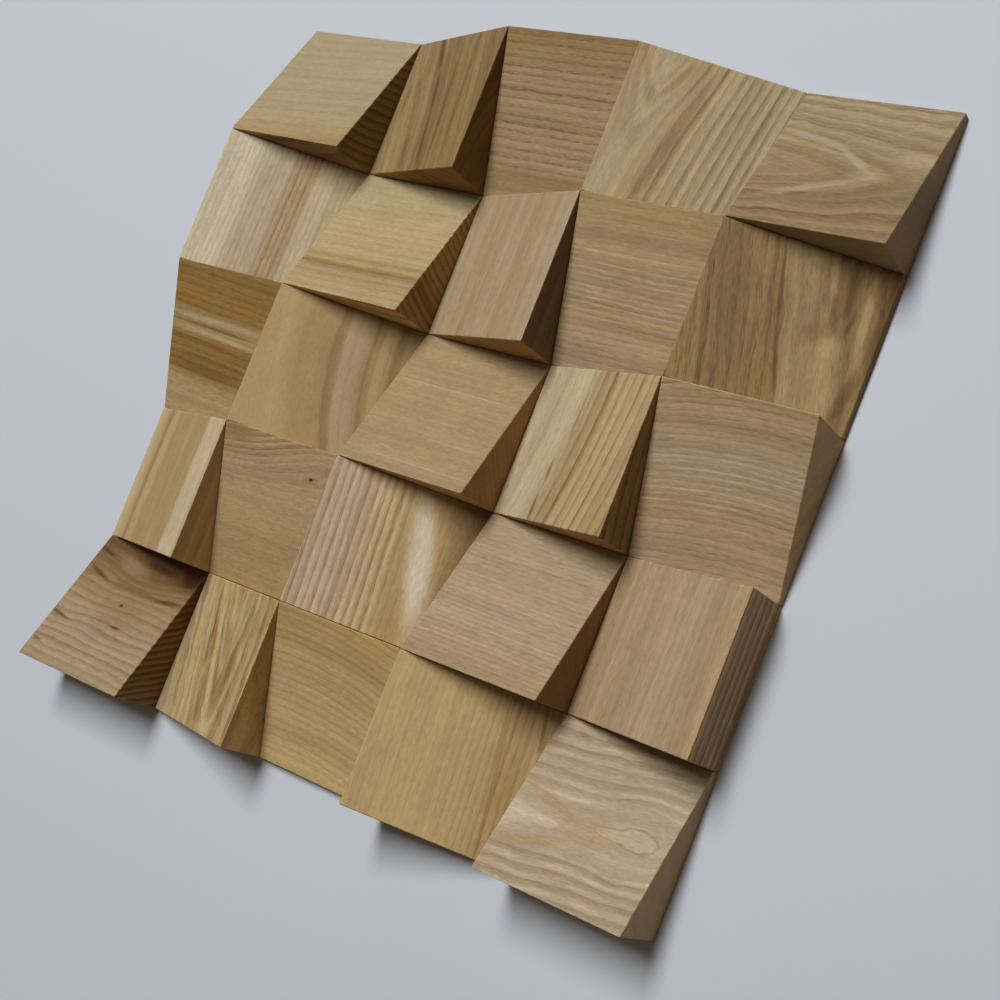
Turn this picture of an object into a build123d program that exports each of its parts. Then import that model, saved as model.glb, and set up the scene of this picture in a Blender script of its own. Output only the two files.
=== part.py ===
"""Wood mosaic panel: five rows of five square ash blocks, glued edge to edge.

Every block is the same wedge: a flat back, four plumb sides and a plane top that climbs
from a thin edge to a thick one, with its arrises eased. Along each row the wedge makes a
quarter turn from one block to the next, so that equal turns run down the panel in diagonals.

The panel lies on its back. X runs to the right along a row, Y runs up the panel from the
last row to the first, and Z stands out of the face. The origin is the middle of the back.
"""

import os

from build123d import *

# Driving dimensions in millimetres
block_width = 60.0  # plan side of a block across the panel, along X
block_length = 60.0  # plan side of a block up the panel, along Y
thin_edge = 3.5  # height of a block's low edge
thick_edge = 28.0  # height of the opposite, high edge
arris = 0.4  # flat sanded on the edges round a block's top
glue_line = 0.1  # joint between neighbouring blocks
row_count = 5
column_count = 5

# Spacing of the blocks
column_pitch = block_width + glue_line
row_pitch = block_length + glue_line

# Which way a block's top climbs, for each quarter turn of the wedge
climbs = [(0, -1), (1, 0), (0, 1), (-1, 0)]

os.makedirs("parts", exist_ok=True)


def block_centre(row, column):
    """Middle of a block's back, with row 1 at the top and column 1 at the left."""
    across = (column - (column_count + 1) / 2) * column_pitch
    up = ((row_count + 1) / 2 - row) * row_pitch
    return (across, up, 0)


for row in range(1, row_count + 1):
    for column in range(1, column_count + 1):
        climb_x, climb_y = climbs[(column - row) % len(climbs)]

        # The wedge's length runs along its climb, and its breadth square to that
        run = block_width if climb_x else block_length
        breadth = block_length if climb_x else block_width
        section_plane = Plane(
            origin=block_centre(row, column),
            x_dir=(climb_x, climb_y, 0),
            z_dir=(climb_y, -climb_x, 0),
        )

        with BuildPart() as block:
            with BuildSketch(section_plane):
                with BuildLine():
                    Polyline(
                        (-run / 2, 0),
                        (run / 2, 0),
                        (run / 2, thick_edge),
                        (-run / 2, thin_edge),
                        close=True,
                    )
                make_face()
            extrude(amount=breadth / 2, both=True)
            sloping_top = block.faces().sort_by(Axis.Z)[-1]
            chamfer(sloping_top.edges(), length=arris)

        node = f"block_row{row}_column{column}"
        block.part.label = node
        export_step(block.part, f"parts/{node}.step")
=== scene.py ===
# Wood mosaic panel: 25 ash wedges in five rows of five, each turned a quarter from the one beside it.
# Meshes and places are in metres. The wood's figure is given in millimetres on each block's own top.
import math

import bmesh
import bpy
from mathutils import Matrix, Vector


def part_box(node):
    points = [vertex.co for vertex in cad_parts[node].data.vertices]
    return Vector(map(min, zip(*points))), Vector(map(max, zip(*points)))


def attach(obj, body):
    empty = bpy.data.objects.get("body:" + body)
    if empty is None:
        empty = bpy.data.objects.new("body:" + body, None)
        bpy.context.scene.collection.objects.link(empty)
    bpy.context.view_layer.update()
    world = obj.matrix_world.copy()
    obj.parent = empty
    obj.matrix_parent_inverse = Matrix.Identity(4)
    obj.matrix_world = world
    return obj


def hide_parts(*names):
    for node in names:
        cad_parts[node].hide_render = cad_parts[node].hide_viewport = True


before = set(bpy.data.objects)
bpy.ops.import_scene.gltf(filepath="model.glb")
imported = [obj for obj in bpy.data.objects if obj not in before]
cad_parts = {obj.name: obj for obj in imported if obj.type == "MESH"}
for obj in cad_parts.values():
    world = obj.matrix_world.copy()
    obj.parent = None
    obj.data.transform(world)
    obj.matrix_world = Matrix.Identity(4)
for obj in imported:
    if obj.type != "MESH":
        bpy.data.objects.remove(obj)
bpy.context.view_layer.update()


# First row, along the top edge of the panel: five blocks of solid ash.
# Each is a length cut from one wedge-profiled strip, so its grain runs square to its climb and shows
# as end grain on two sides. The blocks are glued edge to edge, with their arrises only eased.
millimetre = 0.001
thin_edge = 0.0035
thick_edge = 0.028
eased_arris = 0.0005
arris_steps = 3
block_side_mm = 60.0
rise_mm = (thick_edge - thin_edge) / millimetre
top_length_mm = math.hypot(block_side_mm, rise_mm)
pith_away_mm = 110.0

# Which way a block's top climbs, for each quarter turn of the wedge
climbs = [Vector((0, -1, 0)), Vector((1, 0, 0)), Vector((0, 1, 0)), Vector((-1, 0, 0))]

# Ash tones by plain names, as red, green and blue of 255
ash_tones = {
    "white": (203, 190, 165),
    "ivory": (191, 176, 149),
    "cream": (183, 165, 130),
    "pale_straw": (167, 151, 115),
    "straw": (176, 155, 115),
    "honey": (168, 143, 100),
    "tan": (165, 141, 104),
    "rose": (168, 146, 115),
    "grey_beige": (173, 154, 126),
    "rosy_grey": (173, 152, 125),
    "ochre": (174, 149, 102),
    "amber": (160, 131, 86),
    "khaki": (158, 134, 92),
    "olive": (144, 118, 77),
    "brown": (136, 108, 68),
    "russet": (138, 106, 58),
    "dark_brown": (107, 79, 45),
    "umber": (70, 40, 17),
}
line_tint = (0.54, 0.43, 0.30, 1.0)
# Sawn sides and end grain: darker partly from the finish they take up and partly as painted shade, with the
# end grain's warmth painted for light thrown back between the blocks
sawn_finish_and_shade_tint = (0.96, 0.90, 0.83)
end_grain_and_shade_tint = (0.73, 0.64, 0.52)

# Sizes of the wood's marks along and across the grain, in millimetres
waver_breadth = 16.0
fray_size = (6.0, 1.6)
pore_breadth = 0.5
fleck_size = (6.0, 0.42)
late_wood_length = 12.0
mottle_size = (6.0, 1.8)
streak_size = (120.0, 5.0)
fibre_size = (3.0, 0.5)
grit_size = (2.2, 1.1)
blotch_size = (14.0, 9.0)
# Patches of painted highlight and wear along the arrises
arris_patch_size = (3.0, 3.0)
years_alike_length = 400.0
years_alike = 3.2

# How fast nested points open below the top, and how rings and zones drift and fray, as shares
spire_sink = 0.8
ring_drift = 0.15
zone_fray = 0.02

# Between these, cloudy noise has nearly all its values
noise_low = 0.3
noise_high = 0.7

# Planed ash with a thin matt finish
wood_gloss = 0.12
wood_roughness = 0.6
pore_roughness = 0.12
fibre_relief = 0.25
fibre_depth = 0.0004
# How much paler the arrises are painted: partly rubbed wear, partly a painted highlight
arris_highlight_and_wear = 0.16


def linear_tone(name, shade=1.0):
    """A named tone as the linear colour that a shader takes, made lighter or darker by shade."""
    channels = []
    for level in ash_tones[name]:
        share = level / 255
        linear = share / 12.92 if share <= 0.04045 else ((share + 0.055) / 1.055) ** 2.4
        channels.append(shade * linear)
    return channels


def join(tree, value, socket):
    """Links another node's output to a socket, or sets a plain number on it."""
    if isinstance(value, bpy.types.NodeSocket):
        tree.links.new(value, socket)
    else:
        socket.default_value = value


def reckon(tree, operation, *terms):
    """One Math node."""
    node = tree.nodes.new("ShaderNodeMath")
    node.operation = operation
    for term, socket in zip(terms, node.inputs):
        join(tree, term, socket)
    return node.outputs[0]


def place_of(tree, along, across, out):
    """The three as one place."""
    node = tree.nodes.new("ShaderNodeCombineXYZ")
    for value, socket in zip((along, across, out), node.inputs):
        join(tree, value, socket)
    return node.outputs[0]


def ease(tree, value, start, end, low=0.0, high=1.0):
    """Goes smoothly from low to high while the value goes from start to end."""
    node = tree.nodes.new("ShaderNodeMapRange")
    node.interpolation_type = "SMOOTHSTEP"
    for term, socket in zip((value, start, end, low, high), node.inputs):
        join(tree, term, socket)
    return node.outputs[0]


def lumps(tree, place, along, across, detail=1.0, seed=0.0):
    """Cloudy noise from 0 to 1, with lumps of these sizes along and across the grain, moved by its seed."""
    stretch = tree.nodes.new("ShaderNodeMapping")
    stretch.inputs["Location"].default_value = (seed, 2.3 * seed, 0.7 * seed)
    stretch.inputs["Scale"].default_value = (1 / along, 1 / across, 1 / across)
    join(tree, place, stretch.inputs["Vector"])
    cloud = tree.nodes.new("ShaderNodeTexNoise")
    cloud.inputs["Scale"].default_value = 1.0
    cloud.inputs["Detail"].default_value = detail
    join(tree, stretch.outputs[0], cloud.inputs["Vector"])
    return cloud.outputs["Fac"]


def toss(tree, number, seed):
    """A random share from 0 to 1 for each whole number."""
    node = tree.nodes.new("ShaderNodeTexWhiteNoise")
    node.noise_dimensions = "1D"
    join(tree, reckon(tree, "ADD", number, seed), node.inputs["W"])
    return node.outputs["Value"]


def ramp(tree, value, stops):
    """A colour ramp's colour and alpha. Each stop is its place and its red, green, blue and alpha."""
    node = tree.nodes.new("ShaderNodeValToRGB")
    elements = node.color_ramp.elements
    while len(elements) < len(stops):
        elements.new(1.0)
    for element, stop in zip(elements, stops):
        element.position = stop[0]
    for element, stop in zip(elements, stops):
        element.color = stop[1:]
    join(tree, value, node.inputs[0])
    return node.outputs["Color"], node.outputs["Alpha"]


def lay_over(tree, amount, under, over, blend="MIX"):
    """One colour laid over another by an amount from 0 to 1."""
    node = tree.nodes.new("ShaderNodeMix")
    node.data_type = "RGBA"
    node.blend_type = blend
    factor, under_socket, over_socket = node.inputs[0], node.inputs[6], node.inputs[7]
    join(tree, amount, factor)
    join(tree, under, under_socket)
    join(tree, over, over_socket)
    return node.outputs[2]


def scaled(tree, colour, factor):
    """A colour made lighter or darker by a factor."""
    node = tree.nodes.new("ShaderNodeVectorMath")
    node.operation = "SCALE"
    join(tree, colour, node.inputs[0])
    join(tree, factor, node.inputs["Scale"])
    return node.outputs[0]


def facing(tree, way):
    """How far a face looks along a direction, from 0 to 1 for either way along it."""
    faces = tree.nodes.new("ShaderNodeNewGeometry")
    node = tree.nodes.new("ShaderNodeVectorMath")
    node.operation = "DOT_PRODUCT"
    tree.links.new(faces.outputs["Normal"], node.inputs[0])
    node.inputs[1].default_value = way
    return reckon(tree, "ABSOLUTE", node.outputs["Value"])


def on_top(across, down):
    """A place on a top seen with its thick edge upwards, from shares across and down to millimetres."""
    return ((across - 0.5) * block_side_mm, (0.5 - down) * top_length_mm)


def spot(tree, along, across, middle, reach, tilt):
    """1 at a spot on the block's top, fading to 0 past its reach along and across its own tilt."""
    turn = math.atan(tilt)
    from_u = reckon(tree, "SUBTRACT", along, middle[0])
    from_s = reckon(tree, "SUBTRACT", across, middle[1])
    own_u = reckon(tree, "MULTIPLY", from_u, math.cos(turn) / reach[0])
    own_u = reckon(tree, "MULTIPLY_ADD", from_s, math.sin(turn) / reach[0], own_u)
    own_s = reckon(tree, "MULTIPLY", from_s, math.cos(turn) / reach[1])
    own_s = reckon(tree, "MULTIPLY_ADD", from_u, -math.sin(turn) / reach[1], own_s)
    square = reckon(tree, "MULTIPLY_ADD", own_u, own_u, reckon(tree, "MULTIPLY", own_s, own_s))
    return reckon(tree, "EXPONENT", reckon(tree, "MULTIPLY", square, -1.0))


def ash(
    name, top_middle, grain, slope, seed, zones, ring,
    first=0.0, rise=0.0, zone_rise=None, lean=0.55, arch=0.0, crown=0.0,
    spire=None, dive=0.0, humps=(), swells=(), wave=0.4, wave_length=45.0,
    uneven=0.8, ragged=0.10, early=0.5, broken=0.5, dash=8.0,
    pale=0.0, pale_from=0.0, pale_to=1.0, pale_width=0.8, flecks=0.12, fine=0.8, streak=0.08,
    stains=(), mottled=0.5, soft=0.4, eye=None,
    side_lines=0.6, side_shade=1.0, end_shade=1.0, shade=1.0,
):
    """Solid ash: year rings cut by the block's faces, with their pores, late wood, tones and stains.

    zones: tones from the thick edge, 0, to the thin one, 1, each with how strongly the rings show there
    ring, first, uneven: a year's width, where the count starts, and how much the years differ
    rise, zone_rise, arch, crown, swells: how the grain and its zones climb, bow about a crown and swell
    wave, wave_length: how far the grain wavers, and over what length
    lean: how far the rings lean under the top, which shows on the sides
    spire, dive, humps: nested points instead, by axis, tip, reach and bluntness, and how the tips climb
    early, ragged, broken, dash: breadth of the dark early wood, its rough edge, its gaps and their length
    pale, pale_from, pale_to, pale_width: strength of pale late wood, from where to where, and its breadth
    flecks, fine, streak: strength of short pores, fibre and broad streaks
    stains: share across and down, length, breadth, tilt, tone and amount of patches off the rings
    mottled, soft: how broken and how soft-edged the stains are
    eye: share across and down, length, breadth and tilt of a ring that closes on itself
    side_lines: how strongly the rings show on the sawn sides and ends
    side_shade, end_shade: tone of the sawn sides and of the end grain, with
    painted light and shade for how much light reaches each block's sides
    shade: tone all over
    """
    material = bpy.data.materials.new(name)
    material.use_nodes = True
    tree = material.node_tree
    tree.nodes.clear()

    # Millimetres on the block's own top: along the grain, up the slope and out of the face
    where = tree.nodes.new("ShaderNodeTexCoord")
    own = tree.nodes.new("ShaderNodeMapping")
    own.vector_type = "TEXTURE"
    own.inputs["Location"].default_value = top_middle
    outward = grain.cross(slope)
    own.inputs["Rotation"].default_value = Matrix((grain, slope, outward)).transposed().to_euler()
    own.inputs["Scale"].default_value = (millimetre, millimetre, millimetre)
    tree.links.new(where.outputs["Object"], own.inputs["Vector"])
    parts = tree.nodes.new("ShaderNodeSeparateXYZ")
    tree.links.new(own.outputs[0], parts.inputs[0])
    along, across, out = parts.outputs

    # The grain's own level: across, with its waver, its arch and its swells
    waver = lumps(tree, own.outputs[0], wave_length, waver_breadth, 1.0, seed)
    waver = reckon(tree, "SUBTRACT", waver, 0.5)
    level = reckon(tree, "MULTIPLY_ADD", waver, 4 * wave, across)
    if arch:
        from_crown = reckon(tree, "MULTIPLY_ADD", along, 2 / block_side_mm, -2 * crown / block_side_mm)
        level = reckon(tree, "MULTIPLY_ADD", reckon(tree, "MULTIPLY", from_crown, from_crown), arch, level)
    for middle, reach, height, tilt in swells:
        level = reckon(tree, "MULTIPLY_ADD", spot(tree, along, across, middle, reach, tilt), height, level)
    zone_lean = rise if zone_rise is None else zone_rise
    zone_level = reckon(tree, "MULTIPLY_ADD", along, -zone_lean, level)
    level = reckon(tree, "MULTIPLY_ADD", along, -rise, level)
    lie = place_of(tree, along, level, out)

    # Year rings: nested points about an axis on the top, or the near-straight cut of a far pith
    if spire:
        axis, tip, reach, blunt = spire
        from_axis = reckon(tree, "SUBTRACT", level, axis)
        off_axis = reckon(tree, "SQRT", reckon(tree, "MULTIPLY_ADD", from_axis, from_axis, blunt * blunt))
        lift = reckon(tree, "MULTIPLY_ADD", along, -dive, tip)
        for place, hump_reach, height in humps:
            from_hump = reckon(tree, "MULTIPLY_ADD", along, 1 / hump_reach, -place / hump_reach)
            bell = reckon(tree, "MULTIPLY", reckon(tree, "MULTIPLY", from_hump, from_hump), -1.0)
            lift = reckon(tree, "MULTIPLY_ADD", reckon(tree, "EXPONENT", bell), height, lift)
        fade = reckon(tree, "EXPONENT", reckon(tree, "MULTIPLY", off_axis, -1 / reach))
        radius = reckon(tree, "MULTIPLY_ADD", lift, fade, off_axis)
        radius = reckon(tree, "MULTIPLY_ADD", out, -spire_sink, radius)
    else:
        from_pith = reckon(tree, "ADD", level, pith_away_mm)
        depth = reckon(tree, "ADD", out, pith_away_mm * lean)
        square = reckon(tree, "MULTIPLY_ADD", from_pith, from_pith, reckon(tree, "MULTIPLY", depth, depth))
        radius = reckon(tree, "MULTIPLY", reckon(tree, "SQRT", square), math.hypot(1, lean))
    thread = place_of(tree, along, radius, reckon(tree, "MULTIPLY", across, ring_drift))
    spread = lumps(tree, thread, years_alike_length, years_alike * ring, 1.0, seed + 7)
    spread = reckon(tree, "SUBTRACT", spread, 0.5)
    fray = reckon(tree, "SUBTRACT", lumps(tree, lie, *fray_size, 2.0, seed + 3), 0.5)
    count = reckon(tree, "MULTIPLY_ADD", radius, 1 / ring, first)
    count = reckon(tree, "MULTIPLY_ADD", spread, uneven, count)
    count = reckon(tree, "MULTIPLY_ADD", fray, ragged, count)
    phase = reckon(tree, "FRACT", count)
    year = reckon(tree, "FLOOR", count)

    # A year's dark early wood starts sharply and thins out, broken into rows of pores
    early_wood, _ = ramp(tree, phase, [
        (0.0, 0.0, 0.0, 0.0, 1.0),
        (0.2 * early, 1.0, 1.0, 1.0, 1.0),
        (0.6 * early, 0.8, 0.8, 0.8, 1.0),
        (1.2 * early, 0.15, 0.15, 0.15, 1.0),
        (1.0, 0.0, 0.0, 0.0, 1.0),
    ])
    pores = ease(tree, lumps(tree, lie, dash, pore_breadth, 2.0, seed + 11), 0.36, 0.62)
    year_share = reckon(tree, "MULTIPLY_ADD", toss(tree, year, seed), 0.4, 0.6)
    line = reckon(tree, "MULTIPLY", early_wood, year_share)
    line = reckon(tree, "MULTIPLY", line, reckon(tree, "MULTIPLY_ADD", pores, broken, 1 - broken))

    # Tones from the thick edge down to the thin one, and how strongly the rings show there
    down = reckon(tree, "MULTIPLY_ADD", zone_level, -1 / top_length_mm, 0.5)
    down = reckon(tree, "MULTIPLY_ADD", fray, zone_fray, down)
    wood, strength = ramp(tree, down, [
        (place, *linear_tone(tone, shade), amount) for place, tone, amount in zones
    ])
    off_top = ease(tree, facing(tree, outward), 0.6, 0.95, 1.0, 0.0)
    change = reckon(tree, "SUBTRACT", side_lines, strength)
    strength = reckon(tree, "MULTIPLY_ADD", off_top, change, strength)
    mark = reckon(tree, "MULTIPLY", line, strength)
    wood = lay_over(tree, mark, wood, line_tint, "MULTIPLY")

    # Short dark pores all over, and the pale dense wood that ends a year
    fleck = ease(tree, lumps(tree, lie, *fleck_size, 1.0, seed + 19), 0.56, 0.70, 0.0, flecks)
    wood = lay_over(tree, fleck, wood, line_tint, "MULTIPLY")
    if pale:
        late_wood, _ = ramp(tree, phase, [
            (0.0, 0.0, 0.0, 0.0, 1.0),
            (0.55, 0.0, 0.0, 0.0, 1.0),
            (0.78, 1.0, 1.0, 1.0, 1.0),
            (1.0, 0.0, 0.0, 0.0, 1.0),
        ])
        lit = ease(tree, lumps(tree, lie, late_wood_length, pale_width, 2.0, seed + 23), 0.38, 0.64)
        share = reckon(tree, "MULTIPLY_ADD", toss(tree, year, seed + 0.5), 0.7, 0.3)
        lit = reckon(tree, "MULTIPLY", lit, reckon(tree, "MULTIPLY", late_wood, share))
        off_middle = reckon(tree, "ABSOLUTE", reckon(tree, "SUBTRACT", down, (pale_from + pale_to) / 2))
        reach = (pale_to - pale_from) / 2
        lit = reckon(tree, "MULTIPLY", lit, ease(tree, off_middle, reach, reach + 0.12, pale, 0.0))
        lit = reckon(tree, "MULTIPLY", lit, reckon(tree, "SUBTRACT", 1.0, off_top))
        wood = lay_over(tree, lit, wood, (*linear_tone("white", shade), 1.0))

    # Stains, knots and pale patches that the rings don't follow
    if stains or eye:
        mottle = lumps(tree, own.outputs[0], *mottle_size, 2.0, seed + 17)
        mottle = reckon(tree, "SUBTRACT", mottle, 0.5)
    for share_across, share_down, length, breadth, tilt, tone, amount in stains:
        middle = on_top(share_across, share_down)
        patch = spot(tree, along, across, middle, (length, breadth), tilt)
        patch = reckon(tree, "MULTIPLY_ADD", mottle, mottled, patch)
        cover = ease(tree, patch, 0.5 - soft, 0.5 + soft, 0.0, amount)
        wood = lay_over(tree, cover, wood, (*linear_tone(tone, shade), 1.0))

    # An eye, where a ring closes on itself: plain wood in the shape of a drop, inside a thin dark rim
    if eye:
        share_across, share_down, length, breadth, tilt = eye
        bulb = spot(tree, along, across, on_top(share_across, share_down), (length, breadth), tilt)
        tail_middle = on_top(share_across + 0.14, share_down - 0.02)
        tail = spot(tree, along, across, tail_middle, (length, 0.5 * breadth), tilt)
        inside = reckon(tree, "SMOOTH_MAX", bulb, tail, 0.2)
        inside = reckon(tree, "MULTIPLY_ADD", mottle, 0.25, inside)
        plain = ease(tree, inside, 0.36, 0.50, 0.0, 0.7)
        wood = lay_over(tree, plain, wood, (*linear_tone("grey_beige", 1.06 * shade), 1.0))
        rim_outside = ease(tree, inside, 0.26, 0.38)
        rim_inside = ease(tree, inside, 0.38, 0.50, 0.42, 0.0)
        rim_by_tail = ease(tree, along, tail_middle[0] - 6, tail_middle[0] + 9, 1.0, 0.15)
        rim = reckon(tree, "MULTIPLY", reckon(tree, "MULTIPLY", rim_outside, rim_inside), rim_by_tail)
        wood = lay_over(tree, rim, wood, line_tint, "MULTIPLY")

    # Broad streaks, fine fibre, soft blotches and grit, each a factor a little under to a little over 1
    broad = lumps(tree, thread, *streak_size, 2.0, seed + 29)
    broad = ease(tree, broad, noise_low, noise_high, 1 - streak, 1 + 0.6 * streak)
    fibre = lumps(tree, lie, *fibre_size, 3.0, seed + 31)
    fibre = ease(tree, fibre, noise_low, noise_high, 1 - 0.11 * fine, 1 + 0.08 * fine)
    grit = lumps(tree, own.outputs[0], *grit_size, 3.0, seed + 41)
    grit = ease(tree, grit, noise_low, noise_high, 0.95, 1.05)
    blotch = lumps(tree, own.outputs[0], *blotch_size, 2.0, seed + 37)
    blotch = ease(tree, blotch, noise_low, noise_high, 0.96, 1.03)
    wood = scaled(tree, wood, reckon(tree, "MULTIPLY", reckon(tree, "MULTIPLY", broad, fibre), blotch))
    wood = scaled(tree, wood, grit)

    # Sawn sides and, still more, end grain take up more finish and are darker. Their tints are also painted
    # shade, warm like light thrown back between the blocks, and each block's side and end factors paint its
    # sides lighter or darker for how much light reaches them
    side_finish_and_shade = [side_shade * share for share in sawn_finish_and_shade_tint] + [1.0]
    wood = lay_over(tree, off_top, wood, side_finish_and_shade, "MULTIPLY")
    end_grain = ease(tree, facing(tree, grain), 0.5, 0.95)
    end_finish_and_shade = [end_shade * share for share in end_grain_and_shade_tint] + [1.0]
    wood = lay_over(tree, end_grain, wood, end_finish_and_shade, "MULTIPLY")

    # Arrises round the top, painted paler here and there: partly rubbed wear, partly a painted highlight
    # where the eased edge catches the light
    by_end = reckon(tree, "MULTIPLY", reckon(tree, "ABSOLUTE", along), 2 / block_side_mm)
    by_edge = reckon(tree, "MULTIPLY", reckon(tree, "ABSOLUTE", across), 2 / top_length_mm)
    by_arris = ease(tree, reckon(tree, "MAXIMUM", by_end, by_edge), 0.965, 0.99)
    by_top = ease(tree, out, -1.2, -0.4)
    arris_patches = lumps(tree, own.outputs[0], *arris_patch_size, 2.0, seed + 43)
    arris_patches = ease(tree, arris_patches, 0.42, 0.62, 0.0, arris_highlight_and_wear)
    arris_highlight_and_wear_mask = reckon(tree, "MULTIPLY", reckon(tree, "MULTIPLY", by_arris, by_top), arris_patches)
    wood = scaled(tree, wood, reckon(tree, "ADD", arris_highlight_and_wear_mask, 1.0))

    # A matt finish, rougher in the pores, with the fibre standing up a little
    shader = tree.nodes.new("ShaderNodeBsdfPrincipled")
    shader.inputs["Specular IOR Level"].default_value = wood_gloss
    tree.links.new(wood, shader.inputs["Base Color"])
    roughness = reckon(tree, "MULTIPLY_ADD", mark, pore_roughness, wood_roughness)
    tree.links.new(roughness, shader.inputs["Roughness"])
    relief = tree.nodes.new("ShaderNodeBump")
    relief.inputs["Strength"].default_value = fibre_relief
    relief.inputs["Distance"].default_value = fibre_depth
    tree.links.new(fibre, relief.inputs["Height"])
    tree.links.new(relief.outputs[0], shader.inputs["Normal"])
    output = tree.nodes.new("ShaderNodeOutputMaterial")
    tree.links.new(shader.outputs[0], output.inputs["Surface"])
    return material


def block(row, column, **figure):
    """One wedge with its wood: cut to its node's place, its arrises eased, and set on the panel."""
    node = f"block_row{row}_column{column}"
    climb = climbs[(column - row) % len(climbs)]
    low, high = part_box(node)
    middle = (low + high) / 2

    wedge = bmesh.new()
    bmesh.ops.create_cube(wedge, size=1.0)
    bmesh.ops.scale(wedge, vec=(high.x - low.x, high.y - low.y, thick_edge), verts=wedge.verts)
    bmesh.ops.translate(wedge, vec=(middle.x, middle.y, low.z + thick_edge / 2), verts=wedge.verts)
    thin_side = [
        corner for corner in wedge.verts
        if corner.co.z > low.z + thin_edge and (corner.co - middle).dot(climb) < 0
    ]
    bmesh.ops.translate(wedge, vec=(0, 0, thin_edge - thick_edge), verts=thin_side)
    arrises = [
        edge for edge in wedge.edges
        if max(corner.co.z for corner in edge.verts) > low.z + thin_edge / 2
    ]
    bmesh.ops.bevel(
        wedge, geom=arrises, offset=eased_arris, segments=arris_steps,
        profile=0.5, affect="EDGES", material=-1,
    )
    mesh = bpy.data.meshes.new(f"ash_{node}")
    wedge.to_mesh(mesh)
    wedge.free()

    grain = Vector((climb.y, -climb.x, 0))
    slope = (climb * block_side_mm + Vector((0, 0, rise_mm))).normalized()
    top_middle = Vector((middle.x, middle.y, low.z + (thin_edge + thick_edge) / 2))
    seed = 10.0 * row + column
    mesh.materials.append(ash(f"ash_row{row}_column{column}", top_middle, grain, slope, seed, **figure))
    piece = bpy.data.objects.new(f"ash_{node}", mesh)
    bpy.context.scene.collection.objects.link(piece)
    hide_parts(node)
    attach(piece, "root")


block(
    1, 1, ring=4.3, rise=0.08, lean=-0.76, wave=0.6, streak=0.05, fine=0.5, side_lines=1.7, side_shade=0.96,
    shade=0.94,
    zones=[
        (0.0, "khaki", 0.3), (0.05, "honey", 0.25), (0.22, "pale_straw", 0.25), (1.0, "pale_straw", 0.15),
    ],
)
block(
    1, 2, ring=5.7, rise=0.20, arch=1.0, crown=20.0, wave=0.9, wave_length=28.0, early=0.4, streak=0.2,
    flecks=0.35, mottled=0.35, side_shade=0.85, end_shade=1.7, shade=0.94,
    zones=[(0.0, "olive", 0.5), (0.5, "olive", 0.5), (0.75, "khaki", 0.3), (1.0, "khaki", 0.3)],
    stains=[
        (0.55, 0.09, 24, 1.2, 0.10, "brown", 0.7),
        (0.50, 0.24, 26, 1.5, 0.12, "dark_brown", 0.6),
        (0.60, 0.38, 24, 1.5, 0.14, "dark_brown", 0.7),
        (0.10, 0.675, 11, 1.9, 0.42, "dark_brown", 1.0),
        (0.40, 0.565, 11, 1.9, 0.26, "dark_brown", 1.0),
        (0.78, 0.48, 16, 1.6, 0.20, "dark_brown", 0.9),
        (0.85, 0.66, 10, 2.2, 0.25, "brown", 0.9),
        (0.60, 0.74, 10, 1.6, 0.25, "brown", 0.5),
        (0.37, 0.80, 6, 2.6, 0.30, "brown", 0.9),
        (0.43, 0.91, 7, 2.2, 0.00, "brown", 0.8),
    ],
)
block(
    1, 3, ring=3.1, broken=0.8, dash=3.5, pale=0.25, pale_from=0.3, pale_to=0.75, streak=0.12, shade=0.97,
    zones=[
        (0.0, "olive", 0.8), (0.12, "khaki", 0.9), (0.3, "tan", 1.1),
        (0.78, "tan", 1.0), (0.86, "khaki", 0.3), (1.0, "tan", 0.2),
    ],
)
block(
    1, 4, ring=3.7, rise=-0.15, zone_rise=-0.2, spire=(22.0, 8.0, 15.0, 1.0), humps=[(34, 22, -14)],
    early=0.55, uneven=0.5, broken=0.4, streak=0.16, mottled=0.6, shade=0.97,
    zones=[
        (0.0, "tan", 0.3), (0.12, "pale_straw", 0.25), (0.28, "straw", 0.4), (0.36, "tan", 0.9),
        (0.42, "straw", 1.0), (1.0, "cream", 1.0),
    ],
    stains=[
        (0.20, 0.10, 16, 3.0, -0.15, "cream", 0.6),
        (0.71, 0.17, 4, 2.6, 0.30, "olive", 0.7),
        (0.82, 0.29, 12, 1.9, -0.55, "olive", 0.7),
        (0.86, 0.10, 9, 1.5, 0.45, "olive", 0.5),
        (0.90, 0.20, 7, 2.4, 0.0, "cream", 0.5),
        (0.50, 0.40, 28, 1.6, -0.22, "olive", 0.7),
    ],
)
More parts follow.
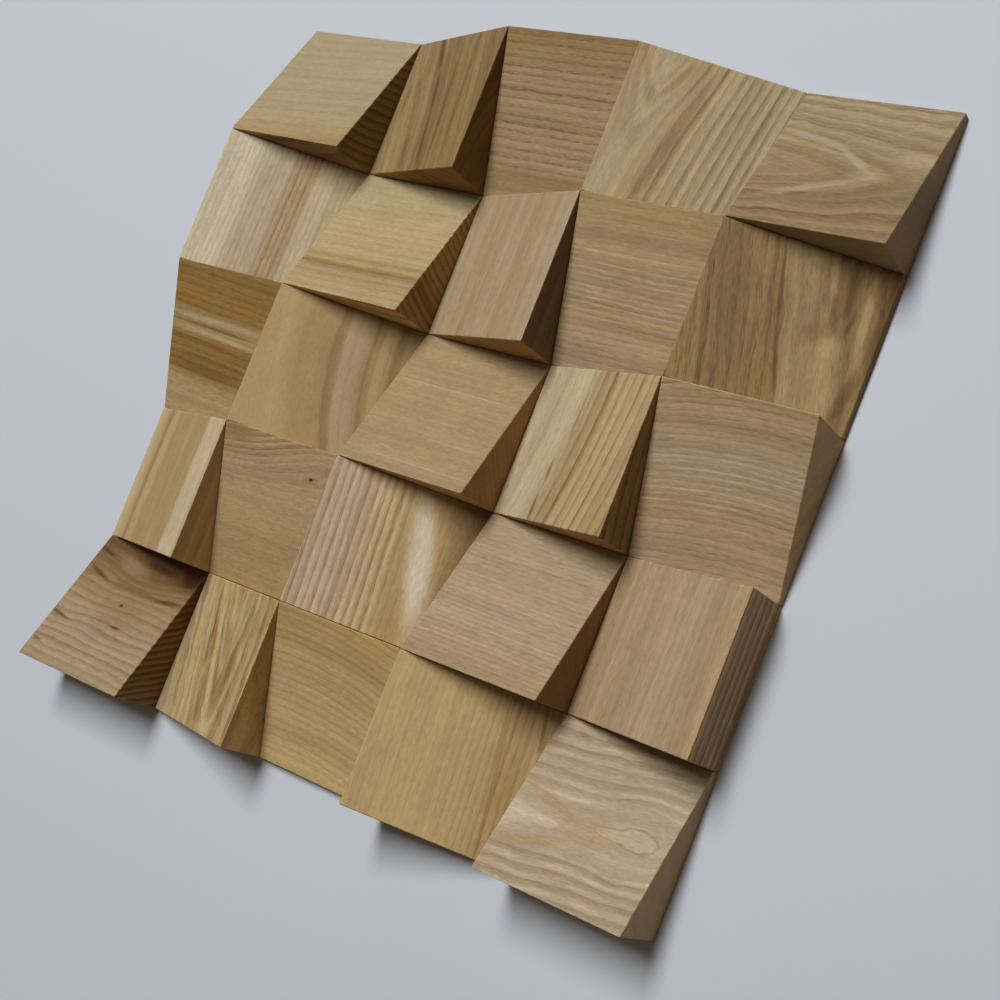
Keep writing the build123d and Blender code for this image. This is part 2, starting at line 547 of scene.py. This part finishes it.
block(
    1, 5, ring=5.2, first=0.55, spire=(4.5, -1.3, 14.0, 1.0), dive=0.5, early=0.8,
    wave=1.3, wave_length=20.0, broken=0.6, dash=6.0, pale=0.3, pale_from=0.62, streak=0.14, mottled=0.9,
    side_lines=0.12, side_shade=1.05, shade=0.79,
    zones=[
        (0.0, "tan", 1.0), (0.3, "tan", 0.9), (0.45, "tan", 0.5), (0.66, "straw", 0.8), (1.0, "cream", 1.1),
    ],
    stains=[
        (0.85, 0.43, 20, 7, 0.0, "tan", 0.7),
        (0.60, 0.235, 26, 1.6, 0.42, "khaki", 0.8),
        (0.16, 0.44, 9, 3.0, -0.45, "khaki", 0.8),
        (0.36, 0.56, 9, 1.5, -0.70, "khaki", 0.8),
        (0.60, 0.66, 12, 1.3, -0.35, "khaki", 0.6),
        (0.10, 0.59, 10, 3.5, 0.0, "cream", 0.7),
        (0.62, 0.30, 22, 1.7, 0.43, "cream", 0.7),
        (0.36, 0.435, 7, 2.4, 0.10, "cream", 0.6),
        (0.46, 0.545, 10, 1.8, -0.66, "cream", 0.9),
        (0.80, 0.665, 15, 1.6, -0.22, "cream", 0.8),
        (0.70, 0.365, 18, 1.0, 0.42, "khaki", 0.6),
        (0.80, 0.40, 14, 1.0, 0.40, "khaki", 0.5),
        (0.62, 0.52, 12, 0.9, -0.50, "khaki", 0.5),
        (0.85, 0.58, 12, 0.9, -0.25, "khaki", 0.5),
    ],
)


# Second row: five more blocks cut from such strips and glued the same way.
# The first is nearly white sapwood, and the last is brown heartwood with a grown-over wound.
block(
    2, 1, ring=2.5, rise=-0.02, early=0.55, dash=5.0, broken=0.5, shade=1.05,
    zones=[
        (0.0, "ivory", 0.3), (0.2, "ivory", 0.4), (0.36, "grey_beige", 0.4), (0.48, "grey_beige", 0.3),
        (0.54, "tan", 0.8), (0.64, "tan", 0.8), (0.69, "cream", 0.4), (1.0, "straw", 0.45),
    ],
)
block(
    2, 2, ring=3.3, rise=0.03, lean=0.05, streak=0.06,
    side_lines=1.3, side_shade=1.75, end_shade=0.78, shade=1.0,
    zones=[
        (0.0, "straw", 0.5), (0.2, "tan", 0.45), (0.235, "brown", 0.4), (0.265, "ochre", 0.4),
        (0.31, "khaki", 0.4), (0.34, "straw", 0.35), (0.6, "straw", 0.25), (1.0, "pale_straw", 0.12),
    ],
)
block(
    2, 3, ring=6.8, streak=0.08, early=0.9, flecks=0.15, fine=0.6,
    side_shade=0.52, end_shade=2.95, shade=1.04,
    zones=[
        (0.0, "rosy_grey", 0.3), (0.12, "rose", 0.3), (0.3, "tan", 0.35), (0.5, "rose", 0.3),
        (0.7, "tan", 0.35), (0.9, "rose", 0.3), (1.0, "pale_straw", 0.2),
    ],
)
block(
    2, 4, ring=2.2, pale=0.55, pale_from=0.36, pale_to=0.62, early=0.55, broken=0.8, dash=5.0,
    streak=0.14, shade=1.07,
    zones=[
        (0.0, "khaki", 0.25), (0.3, "tan", 0.35), (0.5, "tan", 0.4), (0.65, "tan", 0.6),
        (1.0, "rose", 0.65),
    ],
)
block(
    2, 5, ring=4.6, rise=0.25, zone_rise=0.28, wave=1.2, wave_length=24.0, uneven=1.2, ragged=0.25,
    broken=0.85, dash=7.0, early=0.6, streak=0.22, flecks=0.45, mottled=0.8, shade=0.97,
    zones=[
        (0.0, "olive", 0.9), (0.4, "olive", 0.85), (0.485, "brown", 0.6), (0.50, "khaki", 0.1),
        (0.75, "khaki", 0.1), (0.9, "olive", 0.3), (1.0, "brown", 0.5),
    ],
    stains=[
        (0.25, 0.70, 16, 7.0, 0.28, "honey", 0.7),
        (0.80, 0.72, 17, 8.5, 0.25, "dark_brown", 0.6),
        (0.54, 0.70, 5, 7.0, 0.40, "brown", 0.8),
        (0.46, 0.76, 4, 6.0, 0.40, "honey", 0.7),
        (0.75, 0.60, 13, 1.3, 0.30, "khaki", 0.7),
        (0.85, 0.67, 12, 1.3, 0.25, "khaki", 0.7),
        (0.66, 0.73, 8, 1.6, 0.30, "dark_brown", 0.7),
        (0.80, 0.78, 12, 1.8, 0.12, "dark_brown", 0.8),
        (0.62, 0.83, 5, 1.2, -0.20, "dark_brown", 0.8),
        (0.26, 0.54, 12, 0.8, 0.33, "dark_brown", 1.0),
        (0.70, 0.425, 20, 0.8, 0.25, "dark_brown", 1.0),
        (0.62, 0.90, 20, 2.0, 0.10, "honey", 0.8),
        (0.20, 0.93, 12, 2.4, -0.12, "dark_brown", 0.7),
        # Partly the dark band along the thin edge and partly painted shadow from the block above, at the
        # right
        (0.70, 0.98, 20, 1.8, 0.00, "dark_brown", 0.8),
    ],
)


# Third row: mixed wood, planed and glued like the rest.
# Brown heartwood with pale streaks is at the left, and the fourth block is half heart and half sapwood.
block(
    3, 1, ring=3.0, rise=-0.06, streak=0.16, flecks=0.35, mottled=0.4, shade=1.14,
    zones=[
        (0.0, "russet", 0.6), (0.30, "russet", 0.5), (0.34, "khaki", 0.4), (0.46, "khaki", 0.5),
        (0.50, "russet", 0.6), (0.72, "russet", 0.6), (0.77, "khaki", 0.25), (1.0, "tan", 0.25),
    ],
    stains=[
        (0.42, 0.355, 26, 1.5, -0.02, "straw", 1.0),
        (0.45, 0.445, 26, 1.0, -0.08, "straw", 0.9),
        (0.40, 0.40, 28, 0.8, -0.05, "dark_brown", 0.7),
        (0.30, 0.50, 20, 0.9, -0.08, "dark_brown", 0.6),
        (0.45, 0.61, 22, 0.8, -0.08, "dark_brown", 0.8),
        (0.38, 0.69, 16, 2.4, -0.05, "dark_brown", 0.5),
    ],
)
block(
    3, 2, ring=4.8, rise=0.23, arch=3.0, crown=-5.0, wave=0.6, streak=0.04, flecks=0.05, fine=0.35,
    shade=0.97,
    zones=[
        (0.0, "honey", 0.0), (0.15, "ochre", 0.0), (0.30, "amber", 0.0), (0.48, "amber", 0.0),
        (0.50, "brown", 0.2), (0.53, "olive", 0.3), (0.57, "tan", 0.3), (0.70, "tan", 0.3),
        (0.74, "brown", 0.5), (0.77, "amber", 0.4), (0.85, "ochre", 0.5), (0.9, "brown", 0.7),
        (1.0, "khaki", 0.4),
    ],
)
block(
    3, 3, ring=3.4, pale=0.12, flecks=0.15, ragged=0.05, wave=0.2, streak=0.06, mottled=0.5,
    side_lines=0.25, side_shade=1.45, shade=0.94,
    zones=[(0.0, "tan", 0.12), (1.0, "tan", 0.12)],
    stains=[
        (0.40, 0.085, 30, 0.5, -0.01, "white", 0.22),
        (0.30, 0.28, 20, 0.5, 0.0, "white", 0.12),
        (0.55, 0.645, 30, 0.5, 0.0, "white", 0.25),
    ],
)
block(
    3, 4, ring=5.3, rise=-0.09, arch=1.5, crown=-20.0, wave=0.3, early=0.4, streak=0.12,
    side_lines=1.5, side_shade=0.82, end_shade=1.8, shade=1.04,
    zones=[
        (0.0, "honey", 0.9), (0.08, "straw", 1.2), (0.3, "straw", 1.2), (0.5, "tan", 1.1),
        (0.545, "tan", 0.6), (0.565, "cream", 0.2), (1.0, "cream", 0.3),
    ],
    stains=[
        (0.30, 0.56, 10, 0.8, -0.06, "brown", 0.6),
        (0.68, 0.635, 5, 0.9, -0.05, "brown", 0.9),
        (0.92, 0.655, 6, 1.1, -0.05, "dark_brown", 0.8),
    ],
)
block(
    3, 5, ring=2.3, arch=2.0, crown=20.0, pale=0.8, pale_from=0.33, pale_to=0.55, early=0.5,
    broken=0.8, dash=5.0, streak=0.14, side_lines=0.25, side_shade=1.45, shade=1.03,
    zones=[
        (0.0, "tan", 1.1), (0.15, "tan", 0.6), (0.35, "rose", 0.5), (0.6, "tan", 0.6), (1.0, "rose", 0.6),
    ],
)


# Fourth row: blocks of the same wedge, again glued along all their sides.
# The first shows a band of sapwood by its thick edge, and the third a pale lens where a branch lay near.
block(
    4, 1, ring=5.7, streak=0.06, early=0.8, fine=0.4, side_shade=1.3, shade=1.1,
    zones=[
        (0.0, "pale_straw", 0.1), (0.05, "cream", 0.1), (0.21, "cream", 0.1), (0.25, "khaki", 0.2),
        (0.66, "khaki", 0.2), (0.70, "honey", 0.1), (0.77, "honey", 0.1), (0.82, "olive", 0.2),
        (0.86, "honey", 0.2), (1.0, "cream", 0.1),
    ],
)
block(
    4, 2, ring=2.5, swells=[(on_top(1.0, 0.0), (38, 17), -12.0, 0.0)], flecks=0.25, early=0.6, shade=1.12,
    zones=[
        (0.0, "olive", 1.4), (0.08, "tan", 1.5), (0.2, "tan", 0.6), (0.4, "tan", 0.15),
        (1.0, "khaki", 0.15),
    ],
    stains=[
        (0.10, 0.05, 14, 3.6, 0.15, "brown", 0.75),
        (0.80, 0.20, 4, 0.8, 0.3, "brown", 0.7),
        (0.81, 0.20, 1.0, 0.7, 0.3, "umber", 1.0),
    ],
)
block(
    4, 3, ring=3.5, rise=0.05, zone_rise=0.08, early=0.55, pale=0.3, pale_from=0.25, pale_to=0.5,
    mottled=0.15, shade=1.17,
    zones=[
        (0.0, "rosy_grey", 1.1), (0.22, "rosy_grey", 1.1), (0.27, "rose", 0.9), (0.5, "straw", 1.1),
        (0.56, "khaki", 0.6), (0.62, "amber", 0.3), (0.8, "amber", 0.3), (1.0, "dark_brown", 0.3),
    ],
    stains=[
        (0.52, 0.70, 36, 7.0, 0.24, "honey", 0.8),
        (0.55, 0.70, 28, 5.4, 0.25, "ivory", 1.0),
        # Painted shadow: the brown patch below the lens, by the thin edge's corner, stands in for shade
        # from the block above
        (0.85, 0.84, 12, 4.0, 0.20, "brown", 0.7),
    ],
)
block(
    4, 4, ring=2.0, pale=0.35, pale_from=0.15, pale_to=0.4, flecks=0.3, wave=0.3, broken=0.7, dash=7.0,
    side_lines=0.25, shade=0.99,
    zones=[(0.0, "tan", 0.5), (0.3, "rose", 0.35), (1.0, "rose", 0.3)],
)
block(
    4, 5, ring=3.9, pale=0.15, streak=0.13, early=0.8, flecks=0.2, fine=0.6,
    side_lines=1.6, side_shade=1.3, shade=1.05,
    zones=[(0.0, "tan", 0.2), (0.3, "rose", 0.16), (1.0, "tan", 0.16)],
)


# Fifth row, along the bottom edge: the last five blocks of the same wedge, glued the same way.
# Rustic wood with pin knots is at the left, and a pale block with an eye in its figure is at the right.
block(
    5, 1, ring=3.9, lean=-0.91, wave=1.0, wave_length=22.0, uneven=0.5, early=0.55, broken=0.3,
    mottled=0.6,
    side_lines=2.2, side_shade=1.02, shade=0.95,
    zones=[
        # Darker toward the thin edge: partly the wood's own brown, partly painted shade from the raised
        # side of the block above
        (0.0, "rose", 0.75), (0.35, "rose", 0.75), (0.55, "tan", 0.8), (0.8, "brown", 0.7),
        (1.0, "dark_brown", 0.5),
    ],
    swells=[(on_top(0.42, 0.85), (17, 11), -7.0, 0.0)],
    stains=[
        (0.45, 0.50, 16, 8, 0.0, "brown", 0.5),
        (0.40, 0.69, 24, 1.2, 0.0, "dark_brown", 0.6),
        # Painted shadow: this dark patch along the thin edge is partly a dark blotch in the wood and partly
        # the shadow of the block above
        (0.25, 0.88, 18, 6.0, -0.10, "dark_brown", 0.8),
        (0.62, 0.84, 12, 4.0, -0.25, "tan", 0.4),
        (0.39, 0.41, 3.0, 0.8, 0.0, "umber", 0.7),
        (0.475, 0.565, 1.0, 0.8, 0.0, "umber", 1.0),
        (0.93, 0.355, 8, 0.9, -0.15, "umber", 0.7),
        (0.86, 0.72, 9, 1.3, -0.25, "umber", 0.7),
        (0.13, 0.70, 8, 1.2, 0.20, "umber", 0.7),
        (0.38, 0.90, 10, 2.2, -0.10, "umber", 0.8),
        (0.08, 0.90, 6, 4.0, 0.0, "umber", 0.7),
        (0.95, 0.14, 3, 0.8, -0.2, "umber", 0.6),
        (0.92, 0.88, 5, 0.9, -0.3, "umber", 0.7),
    ],
)
block(
    5, 2, ring=6.0, rise=0.24, spire=(9.1, -1.1, 20.0, 4.0), dive=-0.35, wave=2.0, wave_length=20.0,
    uneven=1.4, ragged=0.5, early=0.7, broken=0.8, dash=8.0, streak=0.24, flecks=0.45, pale=0.4,
    mottled=0.9, side_lines=0.35, side_shade=1.5, shade=1.09,
    zones=[(0.0, "honey", 0.9), (0.5, "ochre", 0.9), (1.0, "straw", 0.9)],
    stains=[
        (0.50, 0.26, 9, 3.0, 0.10, "brown", 0.8),
        (0.62, 0.33, 8, 1.4, -0.10, "brown", 0.6),
        (0.20, 0.20, 9, 1.3, -0.15, "brown", 0.5),
        (0.82, 0.16, 9, 1.2, -0.45, "brown", 0.6),
        (0.95, 0.32, 3, 6.0, 0.0, "cream", 0.6),
        (0.20, 0.36, 10, 1.6, 0.15, "cream", 0.7),
        (0.72, 0.40, 10, 1.6, 0.45, "cream", 0.6),
        (0.40, 0.58, 8, 1.2, 0.40, "brown", 0.9),
        (0.30, 0.655, 10, 0.9, 0.35, "dark_brown", 0.8),
        (0.48, 0.62, 7, 1.0, 0.40, "dark_brown", 0.7),
        (0.35, 0.70, 12, 1.2, 0.35, "cream", 0.8),
        (0.85, 0.47, 7, 1.4, 0.45, "brown", 0.9),
        (0.12, 0.72, 6, 0.9, 0.25, "dark_brown", 0.6),
        (0.55, 0.86, 5, 0.8, 0.50, "brown", 0.8),
        (0.70, 0.78, 14, 1.2, 0.35, "honey", 0.6),
    ],
)
block(
    5, 3, ring=3.0, arch=3.0, crown=-15.0, streak=0.12, shade=1.31,
    zones=[
        (0.0, "amber", 0.6), (0.25, "khaki", 0.55), (0.5, "tan", 0.6), (0.75, "honey", 0.45),
        (1.0, "ochre", 0.25),
    ],
)
block(
    5, 4, ring=2.6, rise=0.05, fine=0.6, shade=1.13,
    zones=[
        (0.0, "ochre", 0.2), (0.5, "ochre", 0.25), (0.68, "honey", 0.5), (0.80, "amber", 0.8),
        (1.0, "honey", 0.7),
    ],
    stains=[
        (0.50, 0.76, 26, 0.9, 0.12, "brown", 0.7),
        (0.75, 0.71, 18, 0.8, 0.10, "brown", 0.6),
        (0.85, 0.92, 10, 0.9, 0.15, "dark_brown", 0.7),
    ],
)
block(
    5, 5, ring=5.2, first=0.3, rise=0.12, early=0.6, pale=0.6, pale_width=2.2, wave=0.9, wave_length=22.0,
    broken=0.5, dash=7.0, mottled=0.15, soft=0.2, side_lines=0.12, side_shade=1.45, shade=1.02,
    zones=[
        (0.0, "grey_beige", 0.85), (0.24, "grey_beige", 0.8), (0.32, "grey_beige", 0.15),
        (0.58, "grey_beige", 0.15), (0.66, "grey_beige", 0.7), (1.0, "grey_beige", 0.7),
    ],
    swells=[(on_top(0.20, 0.30), (13, 8), -3.0, 0.0), (on_top(0.20, 0.68), (13, 8), 3.0, 0.0)],
    stains=[
        (0.50, 0.41, 14, 4.6, 0.0, "tan", 0.7),
        (0.78, 0.26, 18, 2.6, 0.40, "tan", 0.8),
        (0.80, 0.51, 16, 2.4, -0.25, "tan", 0.8),
        (0.40, 0.46, 13, 3.0, -0.05, "tan", 0.6),
        (0.76, 0.39, 7.0, 2.2, 0.0, "ivory", 0.6),
        (0.88, 0.385, 8.5, 3.8, 0.0, "ivory", 0.6),
        (1.00, 0.38, 8.5, 5.8, 0.0, "ivory", 0.6),
    ],
    eye=(0.19, 0.49, 7.6, 4.1, 0.06),
)


# Floor: a plain pale sheet under the panel, which only takes its shadow.
# Far from the panel it goes over into the backdrop's own colour, so that its edges don't show.
floor_side = 2.6
floor_drop = 0.0002
fade_start = 0.55
fade_end = 1.15
floor_roughness = 0.8
floor_gloss = 0.1
floor_colour = (0.52, 0.54, 0.58, 1.0)
backdrop_colour = (0.45, 0.47, 0.51, 1.0)


def seen(tree):
    """1 where the camera, a reflection or a see-through thing looks at the surface, and 0 for its light."""
    rays = tree.nodes.new("ShaderNodeLightPath")
    looks = reckon(tree, "MAXIMUM", rays.outputs["Is Camera Ray"], rays.outputs["Is Glossy Ray"])
    return reckon(tree, "MAXIMUM", looks, rays.outputs["Is Transmission Ray"])


def either(tree, share, first, second):
    """A mix of two shaders."""
    node = tree.nodes.new("ShaderNodeMixShader")
    for value, socket in zip((share, first, second), node.inputs):
        join(tree, value, socket)
    return node.outputs[0]


floor_mesh = bpy.data.meshes.new("floor")
sheet = bmesh.new()
bmesh.ops.create_grid(sheet, x_segments=1, y_segments=1, size=floor_side / 2)
bmesh.ops.translate(sheet, vec=(0, 0, -floor_drop), verts=sheet.verts)
sheet.to_mesh(floor_mesh)
sheet.free()
floor = bpy.data.objects.new("floor", floor_mesh)
bpy.context.scene.collection.objects.link(floor)
floor_paint = bpy.data.materials.new("pale_floor")
floor_paint.use_nodes = True
floor_tree = floor_paint.node_tree
floor_shader = floor_tree.nodes["Principled BSDF"]
floor_shader.inputs["Base Color"].default_value = floor_colour
floor_shader.inputs["Roughness"].default_value = floor_roughness
floor_shader.inputs["Specular IOR Level"].default_value = floor_gloss
far_floor = floor_tree.nodes.new("ShaderNodeEmission")
far_floor.inputs["Color"].default_value = backdrop_colour
floor_place = floor_tree.nodes.new("ShaderNodeTexCoord")
floor_reach = floor_tree.nodes.new("ShaderNodeVectorMath")
floor_reach.operation = "LENGTH"
floor_tree.links.new(floor_place.outputs["Object"], floor_reach.inputs[0])
away = ease(floor_tree, floor_reach.outputs["Value"], fade_start, fade_end)
away = reckon(floor_tree, "MULTIPLY", away, seen(floor_tree))
floor_look = either(floor_tree, away, floor_shader.outputs[0], far_floor.outputs[0])
floor_tree.links.new(floor_look, floor_tree.nodes["Material Output"].inputs["Surface"])
floor_mesh.materials.append(floor_paint)


# Light: one soft lamp high above the panel's top edge, a broad ceiling and a dim warm room all round.
# The plumb sides are left to what the wood throws back on them.
# Where the floor ends, a pale backdrop shows.
lamp_way = Vector((-0.10, 0.40, 1.0)).normalized()
lamp_distance = 2.4
lamp_size = (0.6, 1.4)
lamp_power = 60.3
lamp_tint = (0.94, 0.965, 1.0)
ceiling_height = 2.2
ceiling_size = (3.0, 3.0)
ceiling_power = 4.0
ceiling_tint = (1.0, 0.90, 0.76)
room_tint = (1.0, 0.68, 0.38, 1.0)
room_strength = 0.05


def soft_lamp(name, place, way, size, power, tint):
    """A soft flat lamp that shines against the given way."""
    lamp = bpy.data.lights.new(name, "AREA")
    lamp.shape = "RECTANGLE"
    lamp.size, lamp.size_y = size
    lamp.energy = power
    lamp.color = tint
    holder = bpy.data.objects.new(name, lamp)
    holder.location = place
    holder.rotation_euler = way.to_track_quat("Z", "Y").to_euler()
    bpy.context.scene.collection.objects.link(holder)


overhead = Vector((0, 0, 1))
soft_lamp("lamp", lamp_way * lamp_distance, lamp_way, lamp_size, lamp_power, lamp_tint)
soft_lamp("ceiling", overhead * ceiling_height, overhead, ceiling_size, ceiling_power, ceiling_tint)
room = bpy.data.worlds.new("room")
room.use_nodes = True
room_tree = room.node_tree
room_glow = room_tree.nodes["Background"]
room_glow.inputs["Color"].default_value = room_tint
room_glow.inputs["Strength"].default_value = room_strength
backdrop = room_tree.nodes.new("ShaderNodeBackground")
backdrop.inputs["Color"].default_value = backdrop_colour
room_look = either(room_tree, seen(room_tree), room_glow.outputs[0], backdrop.outputs[0])
room_tree.links.new(room_look, room_tree.nodes["World Output"].inputs["Surface"])
bpy.context.scene.world = room


# Camera: to the right of the panel and above it, turned about its line of sight as in the picture.
# The two directions are the picture's right and up, and the lift frames the panel.
camera_place = Vector((0.3509, -0.0884, 0.4916))
picture_right = Vector((0.79995, 0.36436, -0.47679))
picture_up = Vector((-0.28562, 0.92997, 0.23147))
lens_mm = 56.11
sensor_mm = 36.0
nearest = 0.01
lift = 0.10
camera = bpy.data.cameras.new("camera")
camera.lens = lens_mm
camera.sensor_width = sensor_mm
camera.shift_y = lift
camera.clip_start = nearest
camera_object = bpy.data.objects.new("camera", camera)
turn = Matrix((picture_right, picture_up, picture_right.cross(picture_up))).transposed()
camera_object.matrix_world = Matrix.Translation(camera_place) @ turn.to_4x4()
bpy.context.scene.collection.objects.link(camera_object)
bpy.context.scene.camera = camera_object
bpy.context.scene.view_settings.view_transform = "Standard"
